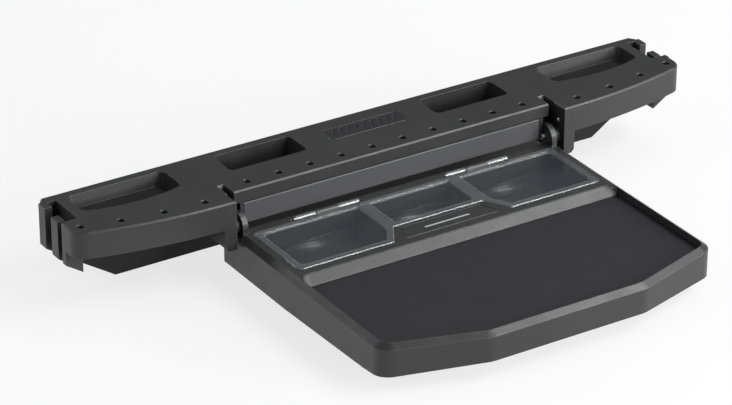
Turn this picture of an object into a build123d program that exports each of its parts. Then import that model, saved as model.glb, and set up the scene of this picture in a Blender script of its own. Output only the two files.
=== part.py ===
from build123d import *
import math
import os

# Tackle work station: a long hollow tool rail with a fold-up work tray in front of it.
# Millimetres. +Z up, X along the rail, front at -Y.
# The origin is the centre of the footprint, on the surface that the station stands on.

os.makedirs("parts", exist_ok=True)

# ---- Driving dimensions ----
PITCH = 31.75                    # hole pitch of the middle row, 1 1/4 in
RAIL_LENGTH = 628.0
DEPTH = 346.0                    # back of the rail to the front of the tray
HEIGHT = 80.0                    # deck above the standing surface
WALL = 3.0                       # moulded wall
GAP = 0.4                        # clearance between neighbouring pieces

# ---- Rail ----
RAIL_END = RAIL_LENGTH / 2
RAIL_BACK = DEPTH / 2
HOLE_Y = RAIL_BACK - 2.06 * PITCH
MIDDLE_FRONT = HOLE_Y - 0.40 * PITCH      # front of the lip between the wings
WING_FRONT = HOLE_Y - 0.90 * PITCH
WING_ARC_X = 5.5 * PITCH                  # where the wing front starts to curve back
WING_ARC_R = 16 * PITCH
WING_INNER = 5.35 * PITCH                 # inner end face of a wing
SKIRT_DROP = 24.8                         # height of the wing front
LIP_DROP = 11.8                           # height of the lip between the wings
SKIRT_Z = HEIGHT - SKIRT_DROP
CORNER_R = 15.0
BACK_CHAMFER = (6.4, 9.2)                 # along X, along Y
DECK_EDGE = 1.2                           # bevel round the deck
HOLE_R = 3.2
HOLE_BEVEL = 0.6
SOCKET_R = 5.0
SOCKET_DEPTH = 16.0
MIDDLE_HOLES = 10
WING_HOLE_X = [6.076 * PITCH, 7.276 * PITCH, 8.476 * PITCH, 9.565 * PITCH]
WING_ROW_R = 16.3 * PITCH                 # curve of the wing holes, concentric with the wing front
WING_ROW_DROP = -0.475 * PITCH

# ---- Hull under the deck ----
HULL_FLOOR = 1.0
HULL_FRONT = HOLE_Y + 1.295 * PITCH       # upright front face
HULL_END = 7.92 * PITCH                   # end of the flat bottom
END_SLOPE = math.radians(33)              # rise of the slanted ends
HULL_INSET = 0.8                          # hull side inside the deck's skirt
HULL_PLATE = 2.0                          # thickness of the plate that closes the deck from below

# ---- Rail ends: slotted outer wall behind a vertical slot ----
SLOT_INNER = 9.41 * PITCH
SLOT_OUTER = RAIL_END - 7.0
SLOT_Y = (HOLE_Y + 16.5, HOLE_Y + 55.0)
FRONT_SLIT_Y = (HOLE_Y + 16.0, HOLE_Y + 23.5)
BACK_SLIT_Y = (HOLE_Y + 35.0, HOLE_Y + 46.0)
FIN_DROP = 3.2
END_BLOCK_X = RAIL_END - 16.0
END_BLOCK_Y = (HOLE_Y + 10.0, HOLE_Y + 57.5)
SLOT_FLOOR = HEIGHT - 26.2

# ---- Pockets in the deck ----
WELL_X = (2.12 * PITCH, 4.57 * PITCH)
WELL_Y = (HOLE_Y + 0.75 * PITCH, HOLE_Y + 1.76 * PITCH)
WELL_DEPTH = 20.0
WELL_R = 5.0
DISH_X = (6.12 * PITCH, 9.1 * PITCH)
DISH_BACK = HOLE_Y + 1.76 * PITCH
DISH_FRONT = HOLE_Y + 0.56 * PITCH
DISH_DEPTH = 12.0
DISH_R = 6.5
POCKET_WALL = 2.4

# ---- Screws, bosses, feet and tabs ----
BOSS_R = 4.5
BOSS_BOTTOM = 16.0
SCREW_R = 1.5
SCREW_HEAD_R = 3.0
SCREW_WELL_R = 5.5
SCREW_WELL_TOP = BOSS_BOTTOM - GAP
TRAY_SCREW_R = 1.25
TRAY_SCREW = 12.0
PILOT_TOP = 27.0
HULL_FOOT = (40.0, 12.0)
HULL_FOOT_X = (-190.0, -105.0, 105.0, 190.0)
HULL_FOOT_Y = 161.4
TRAY_FOOT = (36.0, 12.0)
TRAY_FOOT_X = (-125.0, 125.0)
TRAY_FOOT_Y = (24.0, 70.0)
PANEL_TAB = 2.0                           # thickness of the tabs behind the front panel

# ---- Badge let into the deck ----
BADGE = (80.0, 20.0)
BADGE_Y = HOLE_Y + 1.2 * PITCH
BADGE_THICKNESS = 1.2

# ---- Tray hinge ----
HINGE_Y = HOLE_Y - 0.48 * PITCH
HINGE_Z = HEIGHT - 0.93 * PITCH
EAR_R = 11.8
EAR_X = (157.8, 163.0)
EAR_SLOT_X = 157.2                        # inner side of the slot that the ear turns in
EAR_SLOT_TOP_Y = HOLE_Y + 0.18 * PITCH    # back of the notch above the ear
NOTCH_X = 163.2                           # the lip runs out over the ear to here
EAR_BLOCK_BOTTOM = HEIGHT - 36.0
BRACKET_X = (WING_INNER, 5.7 * PITCH)
BRACKET_BOTTOM = HEIGHT - 1.45 * PITCH
BRACKET_BACK = HOLE_Y
BRACKET_CORNER = 3.0
HINGE_PIN_R = 3.0
HINGE_PIN_END = 177.0
RUN_CLEARANCE = 0.05
WASHER = (3.3, 8.0, 1.4)                  # inner radius, outer radius, thickness
DETENT_Y = HOLE_Y - 0.6 * PITCH
DETENT_Z = HEIGHT - 0.46 * PITCH
DETENT_R = 2.0
DETENT_LENGTH = 6.0
DETENT_PROUD = 1.6

# ---- Tray ----
TRAY_TOP = HEIGHT - 35.5
TRAY_HALF = 167.2
TRAY_BACK = HOLE_Y - 0.55 * PITCH
TRAY_FRONT = -DEPTH / 2
TRAY_SIDE_FRONT = -145.0                  # where the sides meet the angled front
TRAY_CENTRE_HALF = 76.8                   # half width of the straight front
TRAY_SIDE_R = 16.0
TRAY_CENTRE_R = 22.0
RIM_BEVEL = (4.2, 6.0)                    # drop, width
TRAY_FLOOR = HEIGHT - 2.23 * PITCH
TRAY_HEEL = 107.0                         # back of the deep section
TRAY_KEEL = 6.8                           # front of the deep section
TRAY_UNDERSIDE = [(-117.5, HEIGHT - 2.11 * PITCH), (TRAY_FRONT - 1, HEIGHT - 1.95 * PITCH)]
HEEL_TOP = HEIGHT - 50.2
RECESS_BACK = HOLE_Y - 3.6 * PITCH
RECESS_DEPTH = 9.0
RECESS_R = 9.0
RIM_WIDTH = 6.0
MAT_THICKNESS = 1.6
BASE_THICKNESS = 2.5

# ---- Lid and the compartments under it ----
LID_HALF = 4.9 * PITCH
LID_BACK = HOLE_Y - 0.90 * PITCH
LID_FRONT = HOLE_Y - 3.35 * PITCH
LID_CENTRE_FRONT = HOLE_Y - 2.60 * PITCH
LID_NOTCH_X = (1.45 * PITCH, 1.90 * PITCH)
LID_SEAT = 2.0
LID_THICKNESS = 3.0
LID_WINDOW = 1.8
LID_BAND = 6.5
LID_R = 5.0
DIVIDER_X = 1.48 * PITCH
COMPARTMENT_DEPTH = 24.0
COMPARTMENT_MARGIN = 5.0
LID_HINGE_Y = HOLE_Y - 0.75 * PITCH
LID_HINGE_Z = TRAY_TOP - 0.3
KNUCKLE_R = 2.7
LID_PIN_R = 1.0
KNUCKLE_GROUPS = (-78.0, 78.0)
KNUCKLE_OFFSETS = (-22.0, 22.0)           # lid knuckles in a group, either side of the tray's one
LID_KNUCKLE = 20.0
TRAY_KNUCKLE = 22.0

# ---- Latch ----
LATCH_BACK = HOLE_Y - 2.72 * PITCH
LATCH_FRONT = HOLE_Y - 3.30 * PITCH
LATCH_HALF = (41.0, 49.0)                 # half width at the back, at the front
LATCH_THICKNESS = 3.2
LATCH_POCKET = 9.0
SPRING_R = 4.0
SPRING_WIRE = 0.35                        # wire radius
SPRING_TURNS = 4


def save(piece, name):
    piece.part.label = name
    export_step(piece.part, f"parts/{name}.step")


def deck_outline(inset=0.0):
    """Outline of the deck: straight back, chamfered back corners, wings curving back at the front."""
    end = RAIL_END - inset
    back = RAIL_BACK - inset
    front = WING_FRONT + inset
    middle = MIDDLE_FRONT + inset
    radius = WING_ARC_R + inset
    rise = radius - math.sqrt(radius ** 2 - (end - WING_ARC_X) ** 2)
    half_way = (WING_ARC_X + end) / 2
    half_rise = radius - math.sqrt(radius ** 2 - (half_way - WING_ARC_X) ** 2)
    inner = WING_INNER + inset
    with BuildSketch() as outline:
        with BuildLine():
            Polyline((0, middle), (inner, middle), (inner, front), (WING_ARC_X, front))
            ThreePointArc((WING_ARC_X, front), (half_way, front + half_rise), (end, front + rise))
            Polyline(
                (end, front + rise),
                (end, back - BACK_CHAMFER[1]),
                (end - BACK_CHAMFER[0], back),
                (0, back),
                (0, middle),
            )
        make_face()
        fillet(outline.vertices().group_by(Axis.X)[-1].sort_by(Axis.Y)[0], CORNER_R - inset)
        mirror(about=Plane.YZ)
    return outline.sketch


def hole_places():
    """Centres of every hole in the deck: a straight middle row and a curved row on each wing."""
    middle = [((n - (MIDDLE_HOLES - 1) / 2) * PITCH, HOLE_Y) for n in range(MIDDLE_HOLES)]
    row_r = WING_ROW_R
    wing = []
    for x in WING_HOLE_X:
        y = HOLE_Y + WING_ROW_DROP + row_r - math.sqrt(row_r ** 2 - (x - WING_ARC_X) ** 2)
        wing += [(x, y), (-x, y)]
    return middle + wing


HOLES = hole_places()
BOSS_PLACES = [(x, 160.4) for x in (-225, -154, -60, 60, 154, 225)]


def pocket_sketch(x_range, y_range, radius, grow=0.0):
    """A rounded rectangular pocket and its mirror image."""
    with BuildSketch() as pocket:
        with Locations(((x_range[0] + x_range[1]) / 2, (y_range[0] + y_range[1]) / 2)):
            RectangleRounded(
                x_range[1] - x_range[0] + 2 * grow,
                y_range[1] - y_range[0] + 2 * grow,
                radius + grow,
            )
        mirror(about=Plane.YZ)
    return pocket.sketch


def dish_sketch(grow=0.0):
    """Outline of a shallow dish: straight back and ends, front edge bowed forward, and its mirror."""
    inner, outer = DISH_X
    middle = (inner + outer) / 2
    with BuildSketch() as dish:
        with BuildLine():
            Polyline(
                (inner, DISH_FRONT + 5),
                (inner, DISH_BACK),
                (outer, DISH_BACK),
                (outer, DISH_FRONT + 8),
            )
            ThreePointArc((outer, DISH_FRONT + 8), (middle, DISH_FRONT - 1), (inner, DISH_FRONT + 5))
        make_face()
        fillet(dish.vertices(), DISH_R)
        if grow:
            offset(amount=grow)
        mirror(about=Plane.YZ)
    return dish.sketch


def end_block(sign):
    """Solid end of the rail, cut off below by the slanted end of the hull."""
    bottom = [HULL_FLOOR + (x - HULL_END) * math.tan(END_SLOPE) for x in (END_BLOCK_X, RAIL_END)]
    with BuildPart(mode=Mode.PRIVATE) as block:
        with BuildSketch(Plane.XZ.offset(-END_BLOCK_Y[1])):
            with BuildLine():
                Polyline(
                    (sign * END_BLOCK_X, bottom[0]),
                    (sign * RAIL_END, bottom[1]),
                    (sign * RAIL_END, HEIGHT),
                    (sign * END_BLOCK_X, HEIGHT),
                    close=True,
                )
            make_face()
        extrude(amount=END_BLOCK_Y[1] - END_BLOCK_Y[0])
    return block.part


def box_between(x_range, y_range, z_range, mode=Mode.SUBTRACT):
    """An axis-aligned box given by its limits."""
    with Locations((sum(x_range) / 2, sum(y_range) / 2, sum(z_range) / 2)):
        Box(
            abs(x_range[1] - x_range[0]),
            y_range[1] - y_range[0],
            z_range[1] - z_range[0],
            mode=mode,
        )


# ---- Rail deck: top moulding with the skirt, pockets, sockets, hinge brackets and slotted ends ----
with BuildPart() as rail_deck:
    with BuildSketch(Plane.XY.offset(SKIRT_Z)):
        add(deck_outline())
    extrude(amount=SKIRT_DROP)
    chamfer(rail_deck.faces().sort_by(Axis.Z)[-1].edges(), DECK_EDGE)
    # hollow underneath
    with BuildSketch(Plane.XY.offset(SKIRT_Z)):
        add(deck_outline(inset=WALL))
    extrude(amount=SKIRT_DROP - WALL, mode=Mode.SUBTRACT)
    # the lip between the wings is lower than the wing fronts
    box_between(
        (-EAR_SLOT_X, EAR_SLOT_X),
        (MIDDLE_FRONT - 1, MIDDLE_FRONT + WALL + 1),
        (SKIRT_Z - 1, HEIGHT - LIP_DROP),
    )
    # sockets under the holes, and screw bosses
    with BuildSketch(Plane.XY.offset(HEIGHT - SOCKET_DEPTH)):
        with Locations(*HOLES):
            Circle(SOCKET_R)
    extrude(amount=SOCKET_DEPTH - 1)
    with BuildSketch(Plane.XY.offset(BOSS_BOTTOM)):
        with Locations(*BOSS_PLACES):
            Circle(BOSS_R)
    extrude(amount=HEIGHT - WALL - BOSS_BOTTOM)
    # walls of the pockets
    with BuildSketch(Plane.XY.offset(HEIGHT - WELL_DEPTH - POCKET_WALL)):
        add(pocket_sketch(WELL_X, WELL_Y, WELL_R, POCKET_WALL))
    extrude(amount=WELL_DEPTH)
    with BuildSketch(Plane.XY.offset(HEIGHT - DISH_DEPTH - POCKET_WALL)):
        add(dish_sketch(POCKET_WALL))
    extrude(amount=DISH_DEPTH)
    # slotted ends
    for sign in (-1, 1):
        add(end_block(sign))
        # hinge bracket and the block round the ear's slot
        box_between(
            (sign * (EAR_SLOT_X - WALL), sign * BRACKET_X[1]),
            (MIDDLE_FRONT, EAR_SLOT_TOP_Y + WALL),
            (EAR_BLOCK_BOTTOM, HEIGHT - WALL + 1),
            mode=Mode.ADD,
        )
        with BuildSketch(Plane.XZ.offset(-BRACKET_BACK)):
            with BuildLine():
                Polyline(
                    (sign * BRACKET_X[0], HEIGHT - WALL),
                    (sign * BRACKET_X[0], BRACKET_BOTTOM),
                    (sign * (BRACKET_X[1] - BRACKET_CORNER), BRACKET_BOTTOM),
                    (sign * BRACKET_X[1], BRACKET_BOTTOM + BRACKET_CORNER),
                    (sign * BRACKET_X[1], HEIGHT - WALL),
                    close=True,
                )
            make_face()
        extrude(amount=BRACKET_BACK - WING_FRONT)
        # the slot that the tray's ear turns in, open at the front and below
        box_between(
            (sign * EAR_SLOT_X, sign * WING_INNER),
            (WING_FRONT - 5, HINGE_Y + EAR_R + 1.5),
            (20, HEIGHT - LIP_DROP),
        )
        # above the ear a narrower notch beside the wing, with a ramp at its back
        with BuildSketch(Plane.YZ.offset(sign * NOTCH_X)):
            with BuildLine():
                Polyline(
                    (HINGE_Y + EAR_R + 1.5, HINGE_Z),
                    (WING_FRONT - 5, HINGE_Z),
                    (WING_FRONT - 5, HEIGHT + 1),
                    (EAR_SLOT_TOP_Y, HEIGHT + 1),
                )
                ThreePointArc(
                    (EAR_SLOT_TOP_Y, HEIGHT + 1),
                    (HINGE_Y + EAR_R + 2.6, HINGE_Z + 14),
                    (HINGE_Y + EAR_R + 1.5, HINGE_Z),
                )
            make_face()
        extrude(amount=sign * (WING_INNER - NOTCH_X), mode=Mode.SUBTRACT)
        # spacer boss on the bracket
        with BuildSketch(Plane.YZ.offset(sign * (EAR_X[1] + 2 * GAP + WASHER[2]))):
            with Locations((HINGE_Y, HINGE_Z)):
                Circle(WASHER[1])
        extrude(amount=sign * (WING_INNER - EAR_X[1] - 2 * GAP - WASHER[2] + 1))
        # bore for the hinge pin and the detent stud
        with BuildSketch(Plane.YZ.offset(sign * 150)):
            with Locations((HINGE_Y, HINGE_Z)):
                Circle(HINGE_PIN_R)
        extrude(amount=sign * (HINGE_PIN_END + 0.5 - 150), mode=Mode.SUBTRACT)
        with BuildSketch(Plane.YZ.offset(sign * (WING_INNER - 1))):
            with Locations((DETENT_Y, DETENT_Z)):
                Circle(DETENT_R + RUN_CLEARANCE)
        extrude(amount=sign * 8, mode=Mode.SUBTRACT)
        # vertical slot behind the outer wall, two slits through the wall, and the low fin
        through = (20.0, HEIGHT + 1)
        box_between((sign * SLOT_INNER, sign * SLOT_OUTER), SLOT_Y, (SLOT_FLOOR, HEIGHT + 1))
        for slit in (FRONT_SLIT_Y, BACK_SLIT_Y):
            box_between((sign * (SLOT_OUTER - 0.5), sign * (RAIL_END + 1)), slit, through)
        box_between(
            (sign * (SLOT_OUTER - 0.5), sign * (RAIL_END + 1)),
            (FRONT_SLIT_Y[1] - 1, BACK_SLIT_Y[0] + 1),
            (HEIGHT - FIN_DROP, HEIGHT + 1),
        )
    # pockets
    with BuildSketch(Plane.XY.offset(HEIGHT)):
        add(pocket_sketch(WELL_X, WELL_Y, WELL_R))
    extrude(amount=-WELL_DEPTH, taper=2, mode=Mode.SUBTRACT)
    with BuildSketch(Plane.XY.offset(HEIGHT)):
        add(dish_sketch())
    extrude(amount=-DISH_DEPTH, taper=12, mode=Mode.SUBTRACT)
    # seat of the badge
    with BuildSketch(Plane.XY.offset(HEIGHT - BADGE_THICKNESS)):
        with Locations((0, BADGE_Y)):
            RectangleRounded(BADGE[0] + 0.6, BADGE[1] + 0.6, 4.3)
    extrude(amount=BADGE_THICKNESS + 1, mode=Mode.SUBTRACT)
    # holes and screw pilot holes
    with BuildSketch(Plane.XY.offset(HEIGHT + 1)):
        with Locations(*HOLES):
            Circle(HOLE_R)
    extrude(amount=-SOCKET_DEPTH, mode=Mode.SUBTRACT)
    with BuildSketch(Plane.XY.offset(HEIGHT)):
        with Locations(*HOLES):
            Circle(HOLE_R + HOLE_BEVEL)
    extrude(amount=-HOLE_BEVEL, taper=45, mode=Mode.SUBTRACT)
    with BuildSketch(Plane.XY.offset(BOSS_BOTTOM - 1)):
        with Locations(*BOSS_PLACES):
            Circle(SCREW_R)
    extrude(amount=12.0, mode=Mode.SUBTRACT)
save(rail_deck, "rail_deck")


def hull_body(inset=0.0):
    """Solid housing under the back of the deck, shrunk by inset on every side but the top."""
    floor = HULL_FLOOR + inset
    end = HULL_END - inset * math.tan(END_SLOPE / 2)
    outer = RAIL_END - HULL_INSET - inset
    back = RAIL_BACK - HULL_INSET - inset
    with BuildPart(mode=Mode.PRIVATE) as body:
        with BuildSketch(Plane.XZ.offset(-back)):
            with BuildLine():
                Polyline(
                    (0, floor),
                    (end, floor),
                    (outer, floor + (outer - end) * math.tan(END_SLOPE)),
                    (outer, SKIRT_Z),
                    (0, SKIRT_Z),
                    close=True,
                )
            make_face()
            mirror(about=Plane.YZ)
        extrude(amount=back - HULL_FRONT - inset)
        with BuildSketch(Plane.XY):
            add(deck_outline(inset=HULL_INSET + inset))
        extrude(amount=SKIRT_Z, mode=Mode.INTERSECT)
    return body.part


# ---- Hull: the housing that closes the deck from below ----
PLATE_TOP = SKIRT_Z + HULL_PLATE
with BuildPart() as rail_hull:
    add(hull_body())
    add(hull_body(inset=WALL), mode=Mode.SUBTRACT)
    with BuildSketch(Plane.XY.offset(SKIRT_Z)):
        add(deck_outline(inset=WALL + GAP))
    extrude(amount=HULL_PLATE)
    # the deck's screw bosses pass through the plate into screw wells
    with BuildSketch(Plane.XY.offset(SKIRT_Z)):
        with Locations(*BOSS_PLACES):
            Circle(BOSS_R + GAP)
    extrude(amount=HULL_PLATE, mode=Mode.SUBTRACT)
    for radius, height, mode in (
        (SCREW_WELL_R, SCREW_WELL_TOP - HULL_FLOOR, Mode.ADD),
        (SCREW_HEAD_R + GAP, SCREW_WELL_TOP - WALL - HULL_FLOOR, Mode.SUBTRACT),
        (SCREW_R + 0.3, SCREW_WELL_TOP - HULL_FLOOR, Mode.SUBTRACT),
    ):
        with BuildSketch(Plane.XY.offset(HULL_FLOOR)):
            with Locations(*BOSS_PLACES):
                Circle(radius)
        extrude(amount=height, mode=mode)
    # room for the front panel, the ears, the brackets and the slotted ends
    box_between(
        (-EAR_SLOT_X, EAR_SLOT_X),
        (WING_FRONT, MIDDLE_FRONT + WALL + PANEL_TAB + GAP),
        (SKIRT_Z - 1, PLATE_TOP + 1),
    )
    for sign in (-1, 1):
        box_between(
            (sign * (EAR_SLOT_X - WALL - GAP), sign * (BRACKET_X[1] + GAP)),
            (WING_FRONT, EAR_SLOT_TOP_Y + WALL + GAP),
            (SKIRT_Z - 1, PLATE_TOP + 1),
        )
        box_between(
            (sign * (END_BLOCK_X - GAP), sign * (RAIL_END + 1)),
            (END_BLOCK_Y[0] - GAP, END_BLOCK_Y[1] + GAP),
            (HULL_FLOOR, PLATE_TOP + 1),
        )
save(rail_hull, "rail_hull")

# ---- Front panel: snaps in under the lip between the hinge ears ----
PANEL_TOP = HEIGHT - LIP_DROP - 1.2
PANEL_BOTTOM = HEIGHT - 1.03 * PITCH
PANEL_HALF = EAR_SLOT_X - WALL - GAP
PANEL_TABS = (-120, -40, 40, 120)
with BuildPart() as front_panel:
    with BuildSketch(Plane.XZ.offset(-(MIDDLE_FRONT + WALL))):
        with BuildLine():
            Polyline(
                (0, PANEL_TOP),
                (PANEL_HALF, PANEL_TOP),
                (PANEL_HALF, PANEL_BOTTOM),
                (0, PANEL_BOTTOM),
                close=True,
            )
        make_face()
        mirror(about=Plane.YZ)
    extrude(amount=WALL)
    chamfer(front_panel.faces().sort_by(Axis.Y)[0].edges(), 0.6)
    # tabs that hook up behind the lip
    for x in PANEL_TABS:
        box_between(
            (x - 8, x + 8),
            (MIDDLE_FRONT + WALL, MIDDLE_FRONT + WALL + PANEL_TAB),
            (PANEL_TOP - 10, PANEL_TOP + 6),
            mode=Mode.ADD,
        )
save(front_panel, "front_panel")

# ---- Badge: plain ribbed plate let into the middle of the deck ----
with BuildPart() as badge_plate:
    with BuildSketch(Plane.XY.offset(HEIGHT - BADGE_THICKNESS)):
        with Locations((0, BADGE_Y)):
            RectangleRounded(BADGE[0], BADGE[1], 4)
    extrude(amount=BADGE_THICKNESS)
    chamfer(badge_plate.faces().sort_by(Axis.Z)[-1].edges(), 0.3)
    with BuildSketch(Plane.XY.offset(HEIGHT - 0.6)):
        with Locations((0, BADGE_Y)):
            with GridLocations(8, 0, 9, 1):
                SlotOverall(14, 3, rotation=65)
    extrude(amount=1, mode=Mode.SUBTRACT)
save(badge_plate, "badge_plate")

# ---- Screws up through the hull into the deck's bosses ----
SCREW_SHOULDER = SCREW_WELL_TOP - WALL
with BuildPart() as hull_screws:
    with BuildSketch(Plane.XY.offset(SCREW_SHOULDER - 2.6)):
        with Locations(*BOSS_PLACES):
            Circle(SCREW_HEAD_R)
    extrude(amount=2.6)
    with BuildSketch(Plane.XY.offset(SCREW_SHOULDER)):
        with Locations(*BOSS_PLACES):
            Circle(SCREW_R)
    extrude(amount=12.0)
    with BuildSketch(Plane.XY.offset(SCREW_SHOULDER - 2.6)):
        with Locations(*BOSS_PLACES):
            RegularPolygon(1.4, 6)
    extrude(amount=1.4, mode=Mode.SUBTRACT)
save(hull_screws, "hull_screws")

# ---- Rubber pads under the hull ----
with BuildPart() as hull_feet:
    with BuildSketch(Plane.XY):
        with Locations(*[(x, HULL_FOOT_Y) for x in HULL_FOOT_X]):
            SlotOverall(*HULL_FOOT)
    extrude(amount=HULL_FLOOR)
    chamfer(hull_feet.faces().filter_by(Axis.Z).group_by(Axis.Z)[0].edges(), 0.3)
save(hull_feet, "hull_feet")

# ---- Hinge pins, washers and detents, one each side ----
SIDES = {"left": -1, "right": 1}
for side, sign in SIDES.items():
    with BuildPart() as hinge_pin:
        with BuildSketch(Plane.YZ.offset(sign * (EAR_SLOT_X - WALL))):
            with Locations((HINGE_Y, HINGE_Z)):
                Circle(HINGE_PIN_R)
        extrude(amount=sign * (HINGE_PIN_END - EAR_SLOT_X + WALL))
        chamfer(hinge_pin.edges(), 0.4)
    save(hinge_pin, f"hinge_pin_{side}")

    with BuildPart() as friction_washer:
        with BuildSketch(Plane.YZ.offset(sign * (EAR_X[1] + GAP))):
            with Locations((HINGE_Y, HINGE_Z)):
                Circle(WASHER[1])
                Circle(WASHER[0], mode=Mode.SUBTRACT)
        extrude(amount=sign * WASHER[2])
    save(friction_washer, f"friction_washer_{side}")

    with BuildPart() as detent:
        with BuildSketch(Plane.YZ.offset(sign * (WING_INNER - DETENT_PROUD))):
            with Locations((DETENT_Y, DETENT_Z)):
                Circle(DETENT_R)
        extrude(amount=sign * DETENT_LENGTH)
        fillet(detent.edges().sort_by(Axis.X, reverse=sign < 0)[0], 1.4)
    save(detent, f"detent_{side}")

# ---- Tray: one moulding with the rim, the ears, the compartments and the work recess ----


def tray_outline(inset=0.0):
    """Plan of the tray: straight sides, angled front quarters and a straight centre front."""
    slope = math.atan2(TRAY_SIDE_FRONT - TRAY_FRONT, TRAY_HALF - TRAY_CENTRE_HALF)
    corner_shift = inset * math.tan((math.pi / 2 - slope) / 2)
    centre_shift = inset * math.tan(slope / 2)
    with BuildSketch() as outline:
        with BuildLine():
            FilletPolyline(
                (0, TRAY_FRONT + inset),
                (TRAY_CENTRE_HALF - centre_shift, TRAY_FRONT + inset),
                (TRAY_HALF - inset, TRAY_SIDE_FRONT + corner_shift),
                (TRAY_HALF - inset, TRAY_BACK - inset),
                radius=[TRAY_CENTRE_R - inset, TRAY_SIDE_R - inset],
            )
            Polyline((TRAY_HALF - inset, TRAY_BACK - inset), (0, TRAY_BACK - inset), (0, TRAY_FRONT + inset))
        make_face()
        mirror(about=Plane.YZ)
    return outline.sketch


def tray_section(raise_by=0.0, half=TRAY_HALF + 5, top=None):
    """Block with the tray's side profile: keel under the deep section, rising towards the front."""
    with BuildPart(mode=Mode.PRIVATE) as block:
        with BuildSketch(Plane.YZ.offset(-half)):
            with BuildLine():
                Polyline(
                    (TRAY_FRONT - 5, TRAY_UNDERSIDE[1][1] + raise_by),
                    (TRAY_UNDERSIDE[0][0], TRAY_UNDERSIDE[0][1] + raise_by),
                    (TRAY_KEEL, TRAY_FLOOR + raise_by),
                    (TRAY_HEEL + 5, TRAY_FLOOR + raise_by),
                    (TRAY_HEEL + 5, top or TRAY_TOP),
                    (TRAY_FRONT - 5, top or TRAY_TOP),
                    close=True,
                )
            make_face()
        extrude(amount=2 * half)
    return block.part


def work_recess(inset=0.0):
    """Plan of the work recess inside the rim."""
    with BuildSketch() as recess:
        add(tray_outline(RIM_WIDTH + inset))
        with Locations((0, RECESS_BACK - inset)):
            Rectangle(3 * TRAY_HALF, 300, align=(Align.CENTER, Align.MIN), mode=Mode.SUBTRACT)
        fillet(recess.vertices().group_by(Axis.Y)[-1], RECESS_R)
    return recess.sketch


def lid_outline(grow=0.0):
    """Plan of the lid: set back in the centre behind the latch."""
    diagonal = math.atan2(LID_CENTRE_FRONT - LID_FRONT, LID_NOTCH_X[1] - LID_NOTCH_X[0])
    shift = grow / math.tan((math.pi + diagonal) / 2 - diagonal / 2) if grow else 0
    notch_shift = grow * math.tan(diagonal / 2)
    with BuildSketch() as outline:
        with BuildLine():
            Polyline(
                (0, LID_BACK + grow),
                (LID_HALF + grow, LID_BACK + grow),
                (LID_HALF + grow, LID_FRONT - grow),
                (LID_NOTCH_X[1] - notch_shift + shift, LID_FRONT - grow),
                (LID_NOTCH_X[0] - notch_shift, LID_CENTRE_FRONT - grow),
                (0, LID_CENTRE_FRONT - grow),
                close=True,
            )
        make_face()
        fillet(outline.vertices().group_by(Axis.X)[-1], LID_R)
        mirror(about=Plane.YZ)
    return outline.sketch


def compartments(grow=0.0):
    """Plans of the three compartments, each inside its part of the lid."""
    with BuildSketch() as wells:
        add(lid_outline(-COMPARTMENT_MARGIN + grow))
        for x in (-DIVIDER_X, DIVIDER_X):
            with Locations((x, (LID_BACK + LID_FRONT) / 2)):
                Rectangle(2 * COMPARTMENT_MARGIN - 2 * grow, 200, mode=Mode.SUBTRACT)
    return wells.sketch


def latch_outline(grow=0.0):
    """Plan of the latch button: a bar that widens to the front."""
    with BuildSketch() as outline:
        with BuildLine():
            Polyline(
                (-LATCH_HALF[0] - grow, LATCH_BACK + grow),
                (LATCH_HALF[0] + grow, LATCH_BACK + grow),
                (LATCH_HALF[1] + grow, LATCH_FRONT - grow),
                (-LATCH_HALF[1] - grow, LATCH_FRONT - grow),
                close=True,
            )
        make_face()
        fillet(outline.vertices(), 2.0 + grow)
    return outline.sketch


def knuckle_x(offset_x, length):
    """X range of a knuckle in every hinge group."""
    middles = [centre + offset_x for centre in KNUCKLE_GROUPS]
    return [(middle - length / 2, middle + length / 2) for middle in middles]


CAVITY_TOP = TRAY_TOP - RECESS_DEPTH - 2.6
LID_ZONE_TOP = TRAY_TOP - LID_SEAT - 2.4
TRAY_BOSSES = [(x, y) for x in (-120, 0, 120) for y in (-12, -115)] + [(x, 85.0) for x in (-130, 130)]


def heel(inset=0.0):
    """Back of the tray's deep section, which reaches back under the deck."""
    half = TRAY_HALF - inset
    with BuildPart(mode=Mode.PRIVATE) as block:
        with BuildSketch(Plane.YZ.offset(-half)):
            with BuildLine():
                Polyline(
                    (TRAY_BACK - 8, 0),
                    (TRAY_HEEL - inset, 0),
                    (TRAY_HEEL - inset, HEEL_TOP - 0.5 * inset),
                    (TRAY_BACK + 4 - inset, TRAY_TOP - 3.4 - inset),
                    (TRAY_BACK - 8, TRAY_TOP - 3.4 - inset),
                    close=True,
                )
            make_face()
        extrude(amount=2 * half)
    return block.part


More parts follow.
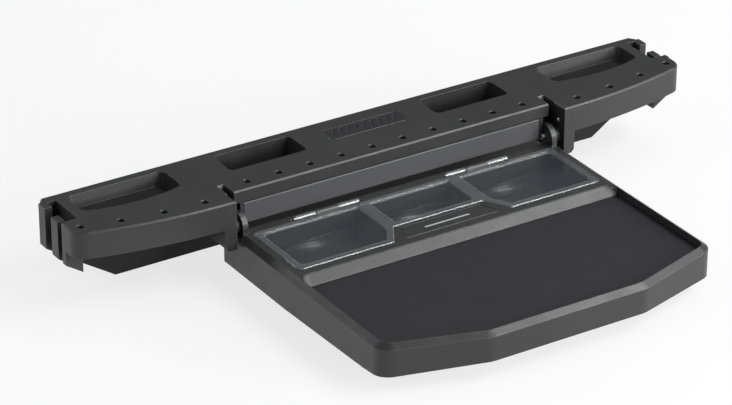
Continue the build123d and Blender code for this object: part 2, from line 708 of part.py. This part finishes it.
with BuildPart() as tray_body:
    with BuildSketch(Plane.XY):
        add(tray_outline())
    extrude(amount=TRAY_TOP)
    # bevelled rim along the sides and the front
    rim = tray_body.faces().sort_by(Axis.Z)[-1].edges().filter_by(lambda e: e.center().Y < TRAY_BACK - 1)
    chamfer(rim, length=RIM_BEVEL[0], length2=RIM_BEVEL[1])
    add(heel())
    # hollow underneath
    with BuildSketch(Plane.XY):
        add(tray_outline(WALL))
    extrude(amount=CAVITY_TOP, mode=Mode.SUBTRACT)
    box_between(
        (-TRAY_HALF + WALL, TRAY_HALF - WALL),
        (RECESS_BACK + WALL, TRAY_BACK - WALL),
        (CAVITY_TOP - 1, LID_ZONE_TOP),
    )
    add(heel(WALL), mode=Mode.SUBTRACT)
    # screw bosses, up to the ceiling above them
    for x, y in TRAY_BOSSES:
        with BuildSketch(Plane.XY):
            with Locations((x, y)):
                Circle(4.0)
        extrude(amount=1 + (LID_ZONE_TOP if y > RECESS_BACK else CAVITY_TOP))
    # walls of the compartments and of the latch pocket
    with BuildSketch(Plane.XY.offset(TRAY_TOP - LID_SEAT - COMPARTMENT_DEPTH - POCKET_WALL)):
        add(compartments(POCKET_WALL))
    extrude(amount=COMPARTMENT_DEPTH + POCKET_WALL)
    with BuildSketch(Plane.XY.offset(TRAY_TOP - LATCH_POCKET - POCKET_WALL)):
        add(latch_outline(GAP + POCKET_WALL))
    extrude(amount=LATCH_POCKET)
    # everything stops at the underside, which carries the base plate
    add(tray_section(), mode=Mode.INTERSECT)
    with BuildPart(mode=Mode.PRIVATE) as base_space:
        with BuildSketch(Plane.XY):
            add(tray_outline(WALL))
        extrude(amount=CAVITY_TOP)
        add(heel(WALL))
        add(tray_section(BASE_THICKNESS, half=TRAY_HALF + 20), mode=Mode.SUBTRACT)
    add(base_space.part, mode=Mode.SUBTRACT)
    # work recess, lid seat, compartments and latch pocket
    with BuildSketch(Plane.XY.offset(TRAY_TOP - RECESS_DEPTH)):
        add(work_recess())
    extrude(amount=RECESS_DEPTH + 1, mode=Mode.SUBTRACT)
    with BuildSketch(Plane.XY.offset(TRAY_TOP - LID_SEAT)):
        add(lid_outline(GAP))
    extrude(amount=LID_SEAT + 1, mode=Mode.SUBTRACT)
    with BuildSketch(Plane.XY.offset(TRAY_TOP - LID_SEAT)):
        add(compartments())
    extrude(amount=-COMPARTMENT_DEPTH, mode=Mode.SUBTRACT)
    with BuildSketch(Plane.XY.offset(TRAY_TOP - LATCH_POCKET)):
        add(latch_outline(GAP))
    extrude(amount=LATCH_POCKET + 1, mode=Mode.SUBTRACT)
    for sign in (-1, 1):
        # the washers and spacer bosses turn outside the ears
        with BuildSketch(Plane.YZ.offset(sign * EAR_X[1])):
            with Locations((HINGE_Y, HINGE_Z)):
                Circle(WASHER[1] + 0.8)
        extrude(amount=sign * 10, mode=Mode.SUBTRACT)
        # ear
        with BuildSketch(Plane.YZ.offset(sign * EAR_X[0])):
            with Locations((HINGE_Y, HINGE_Z)):
                Circle(EAR_R)
                Rectangle(EAR_R, EAR_R + 1, align=(Align.MAX, Align.MAX))
        extrude(amount=sign * (EAR_X[1] - EAR_X[0]))
        with BuildSketch(Plane.YZ.offset(sign * (EAR_X[0] - 1))):
            with Locations((HINGE_Y, HINGE_Z)):
                Circle(HINGE_PIN_R + RUN_CLEARANCE)
        extrude(amount=sign * 8, mode=Mode.SUBTRACT)
    # lid hinge: room for the lid's knuckles, and the tray's own knuckle between them
    for offset_x in KNUCKLE_OFFSETS:
        for low, high in knuckle_x(offset_x, LID_KNUCKLE):
            with BuildSketch(Plane.YZ.offset(low - GAP)):
                with Locations((LID_HINGE_Y, LID_HINGE_Z)):
                    Circle(KNUCKLE_R + GAP)
                    Rectangle(8, 3 * KNUCKLE_R, align=(Align.MAX, Align.MIN))
                    Rectangle(8, LID_HINGE_Z - TRAY_TOP + LID_SEAT, align=(Align.MAX, Align.MAX))
            extrude(amount=high - low + 2 * GAP, mode=Mode.SUBTRACT)
    for low, high in knuckle_x(0, TRAY_KNUCKLE):
        with BuildSketch(Plane.YZ.offset(low)):
            with Locations((LID_HINGE_Y, LID_HINGE_Z)):
                Circle(KNUCKLE_R)
        extrude(amount=high - low)
        with BuildSketch(Plane.YZ.offset(low - 25)):
            with Locations((LID_HINGE_Y, LID_HINGE_Z)):
                Circle(LID_PIN_R)
        extrude(amount=high - low + 50, mode=Mode.SUBTRACT)
    # pilot holes of the base screws
    with BuildSketch(Plane.XY):
        with Locations(*TRAY_BOSSES):
            Circle(TRAY_SCREW_R)
    extrude(amount=PILOT_TOP, mode=Mode.SUBTRACT)
save(tray_body, "tray_body")

# ---- Base plate that closes the tray from below ----
with BuildPart() as tray_base:
    with BuildSketch(Plane.XY):
        add(tray_outline(WALL + 0.2))
    extrude(amount=25)
    add(heel(WALL + 0.2))
    add(tray_section(), mode=Mode.INTERSECT)
    add(tray_section(BASE_THICKNESS, half=TRAY_HALF + 20), mode=Mode.SUBTRACT)
    with BuildSketch(Plane.XY):
        with Locations(*TRAY_BOSSES):
            Circle(1.6)
    extrude(amount=30, mode=Mode.SUBTRACT)
save(tray_base, "tray_base")

# ---- Soft mat on the floor of the work recess ----
with BuildPart() as work_mat:
    with BuildSketch(Plane.XY.offset(TRAY_TOP - RECESS_DEPTH)):
        add(work_recess(0.5))
    extrude(amount=MAT_THICKNESS)
    chamfer(work_mat.faces().sort_by(Axis.Z)[-1].edges(), 0.4)
save(work_mat, "work_mat")


def underside_z(y):
    """Height of the tray's underside."""
    if y > TRAY_KEEL:
        return TRAY_FLOOR
    (y1, z1), (y2, z2) = TRAY_UNDERSIDE
    if y > y1:
        return TRAY_FLOOR + (z1 - TRAY_FLOOR) * (y - TRAY_KEEL) / (y1 - TRAY_KEEL)
    return z1 + (z2 - z1) * (y - y1) / (y2 - y1)


# ---- Screws through the base into the tray's bosses ----
with BuildPart() as tray_screws:
    for x, y in TRAY_BOSSES:
        head_top = underside_z(y) - 0.35
        with BuildSketch(Plane.XY.offset(head_top)):
            with Locations((x, y)):
                Circle(TRAY_SCREW_R)
        extrude(amount=TRAY_SCREW)
        with BuildSketch(Plane.XY.offset(head_top)):
            with Locations((x, y)):
                Circle(2.8)
                RegularPolygon(1.3, 6, mode=Mode.SUBTRACT)
        extrude(amount=-1.5)
save(tray_screws, "tray_screws")

# ---- Rubber feet under the deep section of the tray ----
with BuildPart() as tray_feet:
    with BuildSketch(Plane.XY):
        with Locations(*[(x, y) for x in TRAY_FOOT_X for y in TRAY_FOOT_Y]):
            SlotOverall(*TRAY_FOOT)
    extrude(amount=TRAY_FLOOR)
    chamfer(tray_feet.faces().filter_by(Axis.Z).group_by(Axis.Z)[0].edges(), 0.5)
save(tray_feet, "tray_feet")

# ---- Lid hinge pins ----
for side, centre in zip(SIDES, KNUCKLE_GROUPS):
    with BuildPart() as lid_pin:
        with BuildSketch(Plane.YZ.offset(centre - 33)):
            with Locations((LID_HINGE_Y, LID_HINGE_Z)):
                Circle(LID_PIN_R)
        extrude(amount=66)
        chamfer(lid_pin.edges(), 0.2)
    save(lid_pin, f"lid_pin_{side}")

# ---- Clear lid: one moulding with three sunk windows inside raised bands ----
LID_BOTTOM = TRAY_TOP - LID_SEAT + 0.1
LID_TOP = LID_BOTTOM + LID_THICKNESS
with BuildPart() as clear_lid:
    with BuildSketch(Plane.XY.offset(LID_BOTTOM)):
        add(lid_outline())
    extrude(amount=LID_THICKNESS)
    chamfer(clear_lid.faces().sort_by(Axis.Z)[-1].edges(), 0.7)
    with BuildSketch(Plane.XY.offset(LID_BOTTOM + LID_WINDOW)):
        add(compartments(-LID_BAND + COMPARTMENT_MARGIN))
    extrude(amount=LID_THICKNESS, taper=-20, mode=Mode.SUBTRACT)
    for offset_x in KNUCKLE_OFFSETS:
        for low, high in knuckle_x(offset_x, LID_KNUCKLE):
            with BuildSketch(Plane.YZ.offset(low)):
                with Locations((LID_HINGE_Y, LID_HINGE_Z)):
                    Circle(KNUCKLE_R)
                with Locations((LID_BACK - 1.5, LID_BOTTOM)):
                    Rectangle(LID_HINGE_Y - LID_BACK + 1.5, 2.4, align=(Align.MIN, Align.MIN))
            extrude(amount=high - low)
            with BuildSketch(Plane.YZ.offset(low - 1)):
                with Locations((LID_HINGE_Y, LID_HINGE_Z)):
                    Circle(LID_PIN_R + RUN_CLEARANCE)
            extrude(amount=high - low + 2, mode=Mode.SUBTRACT)
save(clear_lid, "clear_lid")

# ---- Latch button on two springs, with a plain pale stripe let into it ----
LATCH_TOP = TRAY_TOP - 0.2
LATCH_BOTTOM = LATCH_TOP - LATCH_THICKNESS
STRIPE_Y = (LATCH_BACK + LATCH_FRONT) / 2
SPRING_PLACES = [(-25, STRIPE_Y), (25, STRIPE_Y)]
with BuildPart() as latch_button:
    with BuildSketch(Plane.XY.offset(LATCH_BOTTOM)):
        add(latch_outline())
    extrude(amount=LATCH_THICKNESS)
    chamfer(latch_button.faces().sort_by(Axis.Z)[-1].edges(), 0.6)
    with BuildSketch(Plane.XY.offset(LATCH_TOP - 0.6)):
        with Locations((0, STRIPE_Y)):
            SlotOverall(46, 2.2)
    extrude(amount=1, mode=Mode.SUBTRACT)
save(latch_button, "latch_button")

with BuildPart() as latch_stripe:
    with BuildSketch(Plane.XY.offset(LATCH_TOP - 0.6)):
        with Locations((0, STRIPE_Y)):
            SlotOverall(45.8, 2.0)
    extrude(amount=0.6)
save(latch_stripe, "latch_stripe")

SPRING_BOTTOM = TRAY_TOP - LATCH_POCKET
SPRING_HEIGHT = LATCH_BOTTOM - SPRING_BOTTOM - 2 * SPRING_WIRE - 0.1
with BuildPart() as latch_springs:
    for x, y in SPRING_PLACES:
        with Locations((x, y, SPRING_BOTTOM + SPRING_WIRE + 0.05)):
            coil = Helix(pitch=SPRING_HEIGHT / SPRING_TURNS, height=SPRING_HEIGHT, radius=SPRING_R)
        path = Location((x, y, SPRING_BOTTOM + SPRING_WIRE + 0.05)) * coil
        with BuildSketch(Plane(origin=path @ 0, z_dir=path % 0)):
            Circle(SPRING_WIRE)
        sweep(path=path)
save(latch_springs, "latch_springs")
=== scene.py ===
import math

import bmesh
import bpy
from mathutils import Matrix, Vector


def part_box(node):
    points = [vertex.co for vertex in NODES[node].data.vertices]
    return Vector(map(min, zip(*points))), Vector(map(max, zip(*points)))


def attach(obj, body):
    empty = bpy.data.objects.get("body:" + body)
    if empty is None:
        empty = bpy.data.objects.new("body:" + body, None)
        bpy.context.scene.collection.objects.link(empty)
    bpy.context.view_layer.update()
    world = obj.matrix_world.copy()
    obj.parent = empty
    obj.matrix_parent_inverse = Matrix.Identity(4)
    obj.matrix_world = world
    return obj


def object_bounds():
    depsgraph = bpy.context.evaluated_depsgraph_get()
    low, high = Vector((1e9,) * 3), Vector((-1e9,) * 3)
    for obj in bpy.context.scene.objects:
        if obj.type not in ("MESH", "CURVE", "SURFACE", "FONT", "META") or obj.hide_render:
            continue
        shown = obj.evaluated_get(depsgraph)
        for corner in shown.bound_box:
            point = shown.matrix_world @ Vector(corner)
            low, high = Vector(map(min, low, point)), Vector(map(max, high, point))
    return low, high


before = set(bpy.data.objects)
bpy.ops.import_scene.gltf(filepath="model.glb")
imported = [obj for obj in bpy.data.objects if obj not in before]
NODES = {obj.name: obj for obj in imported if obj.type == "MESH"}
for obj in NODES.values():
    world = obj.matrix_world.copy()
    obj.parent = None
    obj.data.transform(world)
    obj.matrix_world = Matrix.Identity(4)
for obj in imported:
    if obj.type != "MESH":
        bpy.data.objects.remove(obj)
CAD_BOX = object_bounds()

MM = 0.001

# ---- Sizes shared with the CAD ----
PITCH = 31.75 * MM                         # hole pitch of the middle of the rail
DECK_TOP = CAD_BOX[1][2]
HOLE_Y = CAD_BOX[1][1] - 2.06 * PITCH      # the middle holes' row
TRAY_TOP = DECK_TOP - 35.5 * MM
COMPARTMENT_GAP = 0.05 * MM                # between a scoop and the compartment's walls
COMPARTMENT_MARGIN = 5 * MM                # from the lid's outline to a compartment
COMPARTMENT_BACK = HOLE_Y - 0.90 * PITCH - COMPARTMENT_MARGIN - COMPARTMENT_GAP
COMPARTMENT_FLOOR = TRAY_TOP - 26 * MM
DIVIDER_X = 1.48 * PITCH
LID_HALF = 4.9 * PITCH
RECESS_BACK = HOLE_Y - 3.6 * PITCH
LID_BAND_TOP = TRAY_TOP + 0.9 * MM         # above here the lid is all band
POCKET_TOP = DECK_TOP - 8 * MM             # pocket floors lie below this height

# ---- Shapes added to the tray ----
SCOOP_RADIUS = 9 * MM
SLOPE_REACH = 9 * MM
ARC_STEPS = 10

# ---- Camera ----
CAMERA_PLACE = (-46.575 * PITCH, HOLE_Y - 72.916 * PITCH, DECK_TOP + 42.769 * PITCH)
CAMERA_AZIMUTH = math.radians(-32.175)
CAMERA_ELEVATION = math.radians(27.304)
CAMERA_LENS = 171.83

# ---- Painted light: an edge highlight tone and a pocket shade tone ----
# paler tone painted on the edges of plastic parts: a painted highlight
PAINTED_EDGE_HIGHLIGHT = (0.10, 0.10, 0.102)
# near-black tone painted on the floors of the rail's pockets: painted shade
PAINTED_POCKET_SHADE = (0.003, 0.003, 0.003)


def make_camera():
    """A long lens looking down on the front left of the station."""
    data = bpy.data.cameras.new("camera")
    data.sensor_width = 36
    data.lens = CAMERA_LENS
    data.clip_start = 0.1
    data.clip_end = 60
    camera = bpy.data.objects.new("camera", data)
    camera.location = CAMERA_PLACE
    camera.rotation_euler = (math.pi / 2 - CAMERA_ELEVATION, 0, CAMERA_AZIMUTH)
    bpy.context.scene.collection.objects.link(camera)
    bpy.context.scene.camera = camera


# ---- Studio ----

def softbox(name, place, target, size, power):
    """A rectangular area light at place, facing target."""
    data = bpy.data.lights.new(name, "AREA")
    data.shape = "RECTANGLE"
    data.size, data.size_y = size
    data.energy = power
    light = bpy.data.objects.new(name, data)
    light.location = place
    light.rotation_euler = (Vector(target) - Vector(place)).to_track_quat("-Z", "Y").to_euler()
    bpy.context.scene.collection.objects.link(light)


def make_studio():
    """Pale floor, even grey surroundings and seven soft boxes.

    The broad one lights the front faces and the left one the ends of the pockets. The high front one
    draws light lines on front edges, and the back left one on left edges. The low one lights upright
    faces from the right, the overhead one catches gentle slopes, and the dim one at the back gives the
    top faces a faint sheen that fades to the right.
    """
    scene = bpy.context.scene
    scene.view_settings.view_transform = "Standard"
    world = bpy.data.worlds.new("studio")
    world.use_nodes = True
    background = world.node_tree.nodes["Background"]
    background.inputs["Color"].default_value = (0.97, 0.98, 1.0, 1)
    background.inputs["Strength"].default_value = 0.26
    scene.world = world

    bpy.ops.mesh.primitive_plane_add(size=30)
    floor = bpy.context.object
    floor.name = "floor"
    floor.data.materials.append(floor_material())

    softbox("front_broad", (1.5, -2.7, 1.05), (0.0, 0.0, 0.05), (2.4, 1.0), 84)
    softbox("front_high", (1.45, -1.35, 2.3), (0.0, 0.0, 0.05), (2.6, 0.5), 75)
    softbox("left", (-2.6, 0.3, 1.5), (0.0, 0.1, 0.05), (1.2, 0.8), 16)
    softbox("back_left", (-1.4, 2.3, 1.45), (0.0, 0.0, 0.05), (1.0, 0.6), 11)
    softbox("key_low", (2.2, -1.5, 0.6), (0.1, 0.0, 0.05), (1.2, 0.6), 40)
    softbox("overhead", (1.35, 0.45, 2.4), (0.0, 0.0, 0.05), (0.9, 0.7), 9)
    softbox("back_dim", (0.4, 2.6, 1.6), (-0.3, 0.15, 0.08), (0.7, 1.0), 0.9)


# ---- Material building blocks ----

def new_material(name):
    """A material with one Principled shader, its node tree and that shader."""
    material = bpy.data.materials.new(name)
    material.use_nodes = True
    tree = material.node_tree
    tree.nodes.clear()
    output = tree.nodes.new("ShaderNodeOutputMaterial")
    shader = tree.nodes.new("ShaderNodeBsdfPrincipled")
    tree.links.new(shader.outputs["BSDF"], output.inputs["Surface"])
    return material, tree, shader


def noise(tree, scale, detail=2.0, roughness=0.5, stretch=None):
    """Noise in the object's own metres; stretch scales the axes first, for brushed or drawn finishes."""
    place = tree.nodes.new("ShaderNodeTexCoord")
    texture = tree.nodes.new("ShaderNodeTexNoise")
    texture.inputs["Scale"].default_value = scale
    texture.inputs["Detail"].default_value = detail
    texture.inputs["Roughness"].default_value = roughness
    source = place.outputs["Object"]
    if stretch:
        mapping = tree.nodes.new("ShaderNodeMapping")
        mapping.inputs["Scale"].default_value = stretch
        tree.links.new(source, mapping.inputs["Vector"])
        source = mapping.outputs["Vector"]
    tree.links.new(source, texture.inputs["Vector"])
    return texture.outputs["Fac"]


def ramp(tree, source, stops):
    """Colour ramp through (position, colour) stops."""
    node = tree.nodes.new("ShaderNodeValToRGB")
    elements = node.color_ramp.elements
    while len(elements) < len(stops):
        elements.new(0.5)
    for element, (position, colour) in zip(elements, stops):
        element.position = position
        element.color = (*colour, 1)
    tree.links.new(source, node.inputs["Fac"])
    return node.outputs["Color"]


def remap(tree, source, low, high, from_low=0.3, from_high=0.7):
    """source, from from_low to from_high, spread over low to high."""
    node = tree.nodes.new("ShaderNodeMapRange")
    node.inputs["From Min"].default_value = from_low
    node.inputs["From Max"].default_value = from_high
    node.inputs["To Min"].default_value = low
    node.inputs["To Max"].default_value = high
    tree.links.new(source, node.inputs["Value"])
    return node.outputs["Result"]


def bevel(tree, radius):
    """Normal rounded over edges by radius."""
    node = tree.nodes.new("ShaderNodeBevel")
    node.samples = 4
    node.inputs["Radius"].default_value = radius
    return node.outputs["Normal"]


def edge_highlight_mask(tree, rounded):
    """0 on flat surfaces, rising to 1 on edges, where the rounded normal leaves the true one."""
    geometry = tree.nodes.new("ShaderNodeNewGeometry")
    dot = tree.nodes.new("ShaderNodeVectorMath")
    dot.operation = "DOT_PRODUCT"
    tree.links.new(rounded, dot.inputs[0])
    tree.links.new(geometry.outputs["Normal"], dot.inputs[1])
    return remap(tree, dot.outputs["Value"], 1.0, 0.0, 0.75, 0.995)


def bump(tree, height, distance, normal=None):
    """Normal of a surface raised by height times distance, on top of another normal."""
    node = tree.nodes.new("ShaderNodeBump")
    node.inputs["Distance"].default_value = distance
    node.inputs["Strength"].default_value = 1.0
    tree.links.new(height, node.inputs["Height"])
    if normal:
        tree.links.new(normal, node.inputs["Normal"])
    return node.outputs["Normal"]


def mix_colour(tree, factor, first, second):
    """first where factor is 0, second where it is 1; either may be a colour or a socket."""
    node = tree.nodes.new("ShaderNodeMix")
    node.data_type = "RGBA"
    tree.links.new(factor, node.inputs["Factor"])
    for socket, value in ((node.inputs["A"], first), (node.inputs["B"], second)):
        if isinstance(value, tuple):
            socket.default_value = (*value, 1)
        else:
            tree.links.new(value, socket)
    return node.outputs["Result"]


def greater(tree, first, second):
    """The greater of two values."""
    node = tree.nodes.new("ShaderNodeMath")
    node.operation = "MAXIMUM"
    tree.links.new(first, node.inputs[0])
    tree.links.new(second, node.inputs[1])
    return node.outputs["Value"]


def pocket_floor_shade_mask(tree):
    """1 on faces that look up from below POCKET_TOP, such as the floors of pockets, and 0 elsewhere."""
    place = tree.nodes.new("ShaderNodeTexCoord")
    split = tree.nodes.new("ShaderNodeSeparateXYZ")
    tree.links.new(place.outputs["Object"], split.inputs["Vector"])
    facing = tree.nodes.new("ShaderNodeSeparateXYZ")
    tree.links.new(place.outputs["Normal"], facing.inputs["Vector"])
    both = tree.nodes.new("ShaderNodeMath")
    both.operation = "MULTIPLY"
    depth = remap(tree, split.outputs["Z"], 1.0, 0.0, POCKET_TOP - 1 * MM, POCKET_TOP)
    tree.links.new(depth, both.inputs[0])
    tree.links.new(remap(tree, facing.outputs["Z"], 0.0, 1.0, 0.6, 0.9), both.inputs[1])
    return both.outputs["Value"]


def moulded_plastic(
    name, dark, light, rough, grain=0.04 * MM, edge_highlight=(0.05, 0.05, 0.05), shine=0.5, pockets=False
):
    """Moulded plastic: fine spark texture, faint flow mottling, edges painted paler as a painted highlight.

    dark and light are the ends of its mottling, rough the ends of its roughness, the edge tone a paler
    colour painted on its edges as a highlight, and pockets says that the floors of its pockets get a
    near-black painted shade and are rougher.
    """
    material, tree, shader = new_material(name)
    rounded = bevel(tree, 0.6 * MM)
    edges = edge_highlight_mask(tree, rounded)
    flow = noise(tree, 14, 3.0)
    base = ramp(tree, flow, [(0.3, dark), (0.7, light)])
    roughness = remap(tree, noise(tree, 60, 2.0), rough[0], rough[1])
    if pockets:
        # pocket floors get a near-black painted shade, and more roughness
        floors = pocket_floor_shade_mask(tree)
        base = mix_colour(tree, floors, base, PAINTED_POCKET_SHADE)
        roughness = greater(tree, roughness, floors)
    # edges are painted paler than the faces: a painted highlight
    tree.links.new(mix_colour(tree, edges, base, edge_highlight), shader.inputs["Base Color"])
    spark = noise(tree, 2600, 3.0, 0.6)
    tree.links.new(roughness, shader.inputs["Roughness"])
    tree.links.new(bump(tree, spark, grain, rounded), shader.inputs["Normal"])
    shader.inputs["IOR"].default_value = 1.49
    shader.inputs["Specular IOR Level"].default_value = shine
    return material


def floor_material():
    """Matt, nearly white floor that is mostly its own light, so the shadows on it stay soft."""
    material, tree, shader = new_material("studio_floor")
    shader.inputs["Base Color"].default_value = (0.15, 0.15, 0.15, 1)
    shader.inputs["Roughness"].default_value = 0.9
    shader.inputs["Specular IOR Level"].default_value = 0.1
    shader.inputs["Emission Color"].default_value = (1, 1, 1, 1)
    shader.inputs["Emission Strength"].default_value = 0.76
    return material


def rubber(name, dark, light, rough=(0.6, 0.8)):
    """Matt rubber: fine grain and faint mottling between dark and light."""
    material, tree, shader = new_material(name)
    rounded = bevel(tree, 0.4 * MM)
    flow = noise(tree, 30, 3.0)
    tree.links.new(ramp(tree, flow, [(0.3, dark), (0.7, light)]), shader.inputs["Base Color"])
    tree.links.new(remap(tree, noise(tree, 90), *rough), shader.inputs["Roughness"])
    tree.links.new(bump(tree, noise(tree, 4200, 2.0), 0.02 * MM, rounded), shader.inputs["Normal"])
    return material


def steel(name, stretch=(1, 60, 60)):
    """Drawn stainless steel, with fine lines along its length."""
    material, tree, shader = new_material(name)
    lines = noise(tree, 900, 2.0, 0.6, stretch)
    tone = ramp(tree, lines, [(0.3, (0.42, 0.43, 0.45)), (0.7, (0.62, 0.63, 0.65))])
    tree.links.new(tone, shader.inputs["Base Color"])
    tree.links.new(remap(tree, lines, 0.22, 0.38), shader.inputs["Roughness"])
    tree.links.new(bump(tree, lines, 0.01 * MM), shader.inputs["Normal"])
    shader.inputs["Metallic"].default_value = 1.0
    return material


def clear_plastic(name):
    """Clear moulded plastic, faintly cool and paler in its thick bands, with a near-white highlight painted
    along its edges.
    """
    material, tree, shader = new_material(name)
    rounded = bevel(tree, 0.7 * MM)
    edges = edge_highlight_mask(tree, rounded)
    place = tree.nodes.new("ShaderNodeTexCoord")
    split = tree.nodes.new("ShaderNodeSeparateXYZ")
    tree.links.new(place.outputs["Object"], split.inputs["Vector"])
    bands = remap(tree, split.outputs["Z"], 0.0, 1.0, TRAY_TOP, LID_BAND_TOP)
    haze = mix_colour(tree, bands, (0.075, 0.082, 0.098), (0.15, 0.155, 0.165))
    # edges are painted near-white and more opaque: a painted highlight
    tree.links.new(mix_colour(tree, edges, haze, (0.75, 0.76, 0.78)), shader.inputs["Base Color"])
    cover = greater(tree, remap(tree, bands, 0.2, 0.34, 0.0, 1.0), remap(tree, edges, 0.0, 0.7, 0.0, 1.0))
    tree.links.new(cover, shader.inputs["Alpha"])
    shader.inputs["IOR"].default_value = 1.58
    shader.inputs["Specular IOR Level"].default_value = 1.0
    scuff = noise(tree, 700, 4.0, 0.7, (1, 6, 1))
    tree.links.new(remap(tree, scuff, 0.12, 0.2, 0.5, 0.75), shader.inputs["Roughness"])
    tree.links.new(rounded, shader.inputs["Normal"])
    return material


# ---- Finishes of the CAD nodes ----

def dress(material, *names):
    """Give the named CAD nodes the material."""
    for name in names:
        mesh = NODES[name].data
        mesh.materials.clear()
        mesh.materials.append(material)


def dress_all():
    """A finish for every CAD node."""
    rail = moulded_plastic(
        "rail_plastic",
        (0.015, 0.015, 0.0155),
        (0.021, 0.021, 0.0215),
        (0.38, 0.46),
        edge_highlight=PAINTED_EDGE_HIGHLIGHT,
        pockets=True,
    )
    tray = moulded_plastic(
        "tray_plastic", (0.016, 0.016, 0.0165), (0.022, 0.022, 0.0225), (0.34, 0.42), edge_highlight=PAINTED_EDGE_HIGHLIGHT
    )
    # the front panel is the rail's black plastic drawn about three times paler: painted light for its lit
    # front face
    panel = moulded_plastic(
        "panel_plastic_painted_light", (0.048, 0.048, 0.050), (0.056, 0.056, 0.058), (0.42, 0.50), edge_highlight=PAINTED_EDGE_HIGHLIGHT
    )
    # hull and tray base: black plastic with a darker base colour as painted shade for these shadowed
    # undersides; the lower shine and higher roughness are their own surface
    shaded_under = moulded_plastic(
        "hull_plastic_painted_shade", (0.006, 0.006, 0.006), (0.009, 0.009, 0.009), (0.55, 0.65), shine=0.25
    )
    badge = moulded_plastic(
        "badge_plastic", (0.008, 0.008, 0.009), (0.012, 0.012, 0.013), (0.28, 0.36), grain=0.01 * MM
    )
    washer = moulded_plastic("acetal", (0.02, 0.02, 0.02), (0.03, 0.03, 0.03), (0.35, 0.45), grain=0.01 * MM)
    stripe = moulded_plastic(
        "stripe_plastic", (0.3, 0.3, 0.31), (0.36, 0.36, 0.37), (0.4, 0.5), edge_highlight=(0.4, 0.4, 0.4)
    )
    mat = rubber("mat_rubber", (0.0065, 0.0058, 0.009), (0.008, 0.007, 0.0105), (0.52, 0.58))
    foot = rubber("foot_rubber", (0.012, 0.012, 0.012), (0.02, 0.02, 0.02))
    dress(rail, "rail_deck")
    dress(panel, "front_panel")
    dress(shaded_under, "rail_hull", "tray_base")
    dress(tray, "tray_body", "latch_button")
    dress(badge, "badge_plate")
    dress(mat, "work_mat")
    dress(foot, "hull_feet", "tray_feet")
    dress(steel("pin_steel"), "hinge_pin_left", "hinge_pin_right", "lid_pin_left", "lid_pin_right")
    dress(steel("detent_steel"), "detent_left", "detent_right")
    dress(steel("screw_steel", (1, 1, 1)), "hull_screws", "tray_screws", "latch_springs")
    dress(washer, "friction_washer_left", "friction_washer_right")
    dress(stripe, "latch_stripe")
    dress(clear_plastic("lid_clear"), "clear_lid")


# ---- Shapes added to the tray: scoops in the compartments, and a slope in the work recess ----

def add_to_tray(name, mesh, material):
    """Turn a bmesh into a piece that rides on the tray."""
    bmesh.ops.recalc_face_normals(mesh, faces=mesh.faces)
    data = bpy.data.meshes.new(name)
    mesh.to_mesh(data)
    mesh.free()
    data.materials.append(material)
    piece = bpy.data.objects.new(name, data)
    bpy.context.scene.collection.objects.link(piece)
    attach(piece, "tray")


def make_scoop(name, x_range, material):
    """A concave quarter round along the foot of a compartment's back wall."""
    profile = [(COMPARTMENT_BACK, COMPARTMENT_FLOOR)]
    for step in range(ARC_STEPS + 1):
        angle = math.pi / 2 * step / ARC_STEPS
        y = COMPARTMENT_BACK - SCOOP_RADIUS + SCOOP_RADIUS * math.sin(angle)
        z = COMPARTMENT_FLOOR + SCOOP_RADIUS - SCOOP_RADIUS * math.cos(angle)
        profile.append((y, z))
    mesh = bmesh.new()
    ends = [[mesh.verts.new((x, y, z)) for y, z in profile] for x in x_range]
    for index in range(len(profile)):
        after = (index + 1) % len(profile)
        face = mesh.faces.new((ends[0][index], ends[0][after], ends[1][after], ends[1][index]))
        face.smooth = 0 < index < len(profile) - 1
    mesh.faces.new(ends[0])
    mesh.faces.new(reversed(ends[1]))
    add_to_tray(name, mesh, material)


def make_scoops():
    """One scoop in each compartment, from divider to divider."""
    # the scoops are tray plastic drawn paler than the tray: painted light that brightens their streak; their
    # lower roughness is their own finish and catches the real lamps
    material = moulded_plastic(
        "scoop_plastic_painted_light", (0.027, 0.027, 0.028), (0.034, 0.034, 0.035), (0.24, 0.30), grain=0.01 * MM
    )
    margin = COMPARTMENT_MARGIN + COMPARTMENT_GAP
    inner = DIVIDER_X + margin
    outer = LID_HALF - margin
    middle = DIVIDER_X - margin
    make_scoop("scoop_left", (-outer, -inner), material)
    make_scoop("scoop_centre", (-middle, middle), material)
    make_scoop("scoop_right", (inner, outer), material)


def make_recess_slope():
    """A slope from the recess's back edge down onto the mat, closing up into its rounded corners."""
    gap = 0.1 * MM
    back = RECESS_BACK - gap
    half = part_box("work_mat")[1][0] - gap
    front = back - SLOPE_REACH
    top_z = TRAY_TOP - 0.4 * MM
    foot_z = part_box("work_mat")[1][2]
    corner = [math.pi / 2 * step / ARC_STEPS for step in range(ARC_STEPS + 1)]
    right = [
        (half - SLOPE_REACH + SLOPE_REACH * math.sin(angle), front + SLOPE_REACH * math.cos(angle))
        for angle in corner
    ]
    left = [(-x, y) for x, y in reversed(right)]
    mesh = bmesh.new()
    rows = []
    for x, y in left + right:
        top = mesh.verts.new((x, y, top_z))
        heel = mesh.verts.new((x, y, foot_z))
        foot = mesh.verts.new((x, front - 0.2 * MM, foot_z))
        rows.append((top, foot, heel))
    for first, second in zip(rows, rows[1:]):
        for index in range(3):
            after = (index + 1) % 3
            mesh.faces.new((first[index], first[after], second[after], second[index]))
    mesh.faces.new(rows[0])
    mesh.faces.new(reversed(rows[-1]))
    add_to_tray("recess_slope", mesh, NODES["tray_body"].data.materials[0])


make_camera()
make_studio()
dress_all()
make_scoops()
make_recess_slope()
